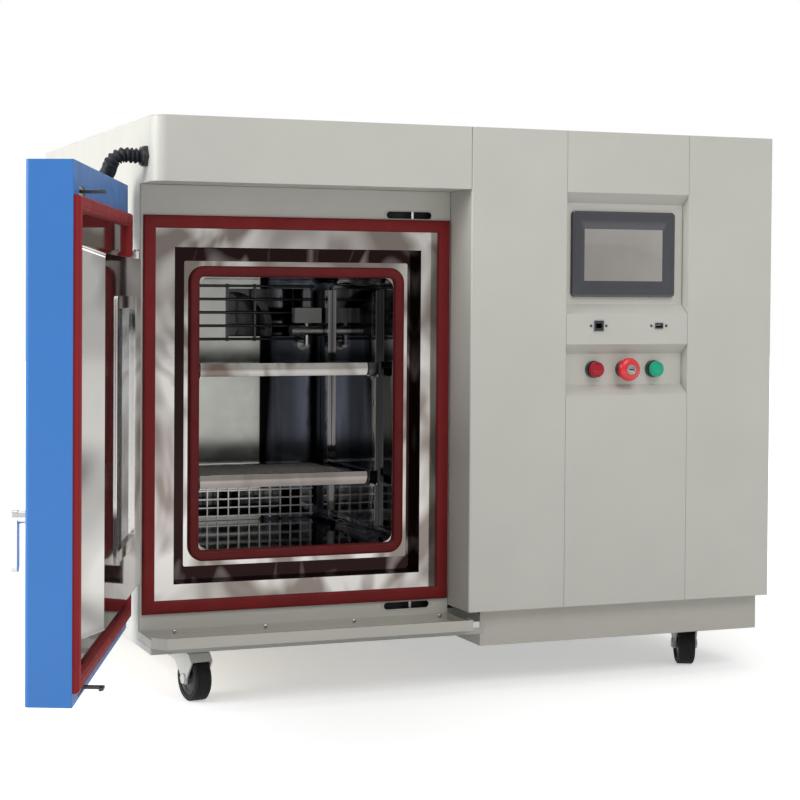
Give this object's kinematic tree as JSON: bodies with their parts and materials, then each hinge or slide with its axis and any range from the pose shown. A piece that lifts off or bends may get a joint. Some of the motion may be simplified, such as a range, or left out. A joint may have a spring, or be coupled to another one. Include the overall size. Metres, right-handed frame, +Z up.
{
  "type": "environmental test chamber",
  "caption": "Wheeled temperature and humidity test chamber: hinged window door standing open, shelves, latch, control column and refrigeration set.",
  "frame": {"origin": "on the floor, at the middle of the footprint with the door standing open as stored", "axes": "+X from the hinge side to the control side, +Y from the front to the back, +Z up"},
  "size_m": [1.4476, 1.277, 0.955],
  "materials": {
    "cabinet_paint": "satin warm grey-white paint",
    "blue_paint": "satin blue paint",
    "painted_steel": "matt grey paint",
    "polished_steel": "mirror-polished stainless steel",
    "stainless_wire": "satin stainless steel",
    "machine_metal": "bare metal",
    "black_metal": "black enamel",
    "red_silicone": "matt red silicone",
    "black_tyre": "matt black",
    "black_plastic": "matt",
    "dark_plastic": "fine-grained dark slate",
    "grey_plastic": "matt",
    "foam": "rigid polyurethane foam",
    "window_glass": "clear",
    "red_lens": "glossy translucent red",
    "green_lens": "glossy translucent green",
    "stop_red": "glossy red"
  },
  "bodies": {
    "cabinet": {"base_frame": "painted_steel", "base_skirt": "cabinet_paint", "left_side_panel": "cabinet_paint", "right_side_panel": "cabinet_paint", "rear_panel": "cabinet_paint", "top_panel": "cabinet_paint", "header": "cabinet_paint", "column_panels": "cabinet_paint", "control_panel": "cabinet_paint", "front_frame": "cabinet_paint", "door_throat": "polished_steel", "inner_liner": "polished_steel", "insulation": "foam", "cabinet_gasket": "red_silicone", "inner_gasket": "red_silicone", "shelf_uprights": "polished_steel", "duct_panel": "polished_steel", "air_guards": "stainless_wire", "duct_coils": "machine_metal", "sensor_bar": "stainless_wire", "fan_motor": "black_metal", "compressor": "black_metal", "condenser": "machine_metal", "humidifier": "stainless_wire", "electrics": "grey_plastic", "display": "dark_plastic", "data_ports": "black_plastic", "button_collars": "black_plastic", "cable_sleeve": "stainless_wire", "drain_pipe": "stainless_wire", "cable_glands": "black_plastic", "hinge_leaves": "polished_steel", "drip_tray": "cabinet_paint", "door_hose": "black_plastic"},
    "door": {"door_shell": "blue_paint", "door_core": "foam", "door_liner": "polished_steel", "door_gasket": "red_silicone", "window_frame": "polished_steel", "window_glass": "window_glass", "door_fittings": "polished_steel"},
    "handle": {"handle": "polished_steel"},
    "latch_bar": {"latch_bar": "stainless_wire"},
    "shelf_lower": {"shelf_lower": "polished_steel"},
    "shelf_upper": {"shelf_upper": "polished_steel"},
    "circulation_fan": {"circulation_fan": "machine_metal"},
    "condenser_fan": {"condenser_fan": "black_metal"},
    "power_button": {"power_button": "red_lens"},
    "lighting_button": {"lighting_button": "green_lens"},
    "emergency_button": {"emergency_button": "stop_red"},
    "fork_front_left": {"fork_front_left": "cabinet_paint"},
    "wheel_front_left": {"wheel_front_left": "black_tyre"},
    "pedal_front_left": {"pedal_front_left": "black_plastic"},
    "fork_front_right": {"fork_front_right": "cabinet_paint"},
    "wheel_front_right": {"wheel_front_right": "black_tyre"},
    "pedal_front_right": {"pedal_front_right": "black_plastic"},
    "fork_rear_left": {"fork_rear_left": "cabinet_paint"},
    "wheel_rear_left": {"wheel_rear_left": "black_tyre"},
    "fork_rear_right": {"fork_rear_right": "cabinet_paint"},
    "wheel_rear_right": {"wheel_rear_right": "black_tyre"}
  },
  "joints": [
    {"name": "door_hinge", "type": "hinge", "parent": "cabinet", "child": "door", "pos_m": [-0.4367, -0.12847, 0.48725], "axis": [0, 0, -1], "range_deg": [-112, 13], "deforming": ["door_hose"]},
    {"name": "handle_turn", "type": "hinge", "parent": "door", "child": "handle", "pos_m": [-0.69578, -0.56683, 0.372], "axis": [0.9272, -0.3746, 0], "range_deg": [0, 90]},
    {"name": "latch_slide", "type": "slide", "parent": "door", "child": "latch_bar", "axis": [-0.3746, -0.9272, 0], "range_m": [0, 0.013]},
    {"name": "shelf_lower_slide", "type": "slide", "parent": "cabinet", "child": "shelf_lower", "axis": [0, -1, 0], "range_m": [0, 0.24]},
    {"name": "shelf_upper_slide", "type": "slide", "parent": "cabinet", "child": "shelf_upper", "axis": [0, -1, 0], "range_m": [0, 0.24]},
    {"name": "circulation_fan_spin", "type": "hinge", "parent": "cabinet", "child": "circulation_fan", "pos_m": [-0.1462, 0.39253, 0.61], "axis": [0, 1, 0], "continuous": true},
    {"name": "condenser_fan_spin", "type": "hinge", "parent": "cabinet", "child": "condenser_fan", "pos_m": [0.6098, 0.35253, 0.3], "axis": [1, 0, 0], "continuous": true},
    {"name": "power_button_press", "type": "slide", "parent": "cabinet", "child": "power_button", "axis": [0, 1, 0], "range_m": [0, 0.003], "stiffness_N_per_m": 800},
    {"name": "lighting_button_press", "type": "slide", "parent": "cabinet", "child": "lighting_button", "axis": [0, 1, 0], "range_m": [0, 0.003], "stiffness_N_per_m": 800},
    {"name": "emergency_button_press", "type": "slide", "parent": "cabinet", "child": "emergency_button", "axis": [0, 1, 0], "range_m": [0, 0.004], "stiffness_N_per_m": 800},
    {"name": "swivel_front_left", "type": "hinge", "parent": "cabinet", "child": "fork_front_left", "pos_m": [-0.3362, -0.09147, 0.097], "axis": [0, 0, 1], "continuous": true},
    {"name": "spin_front_left", "type": "hinge", "parent": "fork_front_left", "child": "wheel_front_left", "pos_m": [-0.33182, -0.11912, 0.0375], "axis": [0.9877, 0.1564, 0], "continuous": true},
    {"name": "brake_front_left", "type": "hinge", "parent": "fork_front_left", "child": "pedal_front_left", "pos_m": [-0.34089, -0.06184, 0.07], "axis": [-0.9877, -0.1564, 0], "range_deg": [-8, 20]},
    {"name": "swivel_front_right", "type": "hinge", "parent": "cabinet", "child": "fork_front_right", "pos_m": [0.6158, -0.09147, 0.097], "axis": [0, 0, 1], "continuous": true},
    {"name": "spin_front_right", "type": "hinge", "parent": "fork_front_right", "child": "wheel_front_right", "pos_m": [0.60486, -0.11724, 0.0375], "axis": [0.9205, -0.3907, 0], "continuous": true},
    {"name": "brake_front_right", "type": "hinge", "parent": "fork_front_right", "child": "pedal_front_right", "pos_m": [0.62752, -0.06385, 0.07], "axis": [-0.9205, 0.3907, 0], "range_deg": [-8, 20]},
    {"name": "swivel_rear_left", "type": "hinge", "parent": "cabinet", "child": "fork_rear_left", "pos_m": [-0.3362, 0.49653, 0.097], "axis": [0, 0, 1], "continuous": true},
    {"name": "spin_rear_left", "type": "hinge", "parent": "fork_rear_left", "child": "wheel_rear_left", "pos_m": [-0.32895, 0.52358, 0.0375], "axis": [-0.9659, 0.2588, 0], "continuous": true},
    {"name": "swivel_rear_right", "type": "hinge", "parent": "cabinet", "child": "fork_rear_right", "pos_m": [0.6158, 0.49653, 0.097], "axis": [0, 0, 1], "continuous": true},
    {"name": "spin_rear_right", "type": "hinge", "parent": "fork_rear_right", "child": "wheel_rear_right", "pos_m": [0.59856, 0.5186, 0.0375], "axis": [-0.788, -0.6157, 0], "continuous": true}
  ],
  "couplings": [
    {"joint": "latch_slide", "follows": "handle_turn", "m_per_rad": 0.00827}
  ]
}
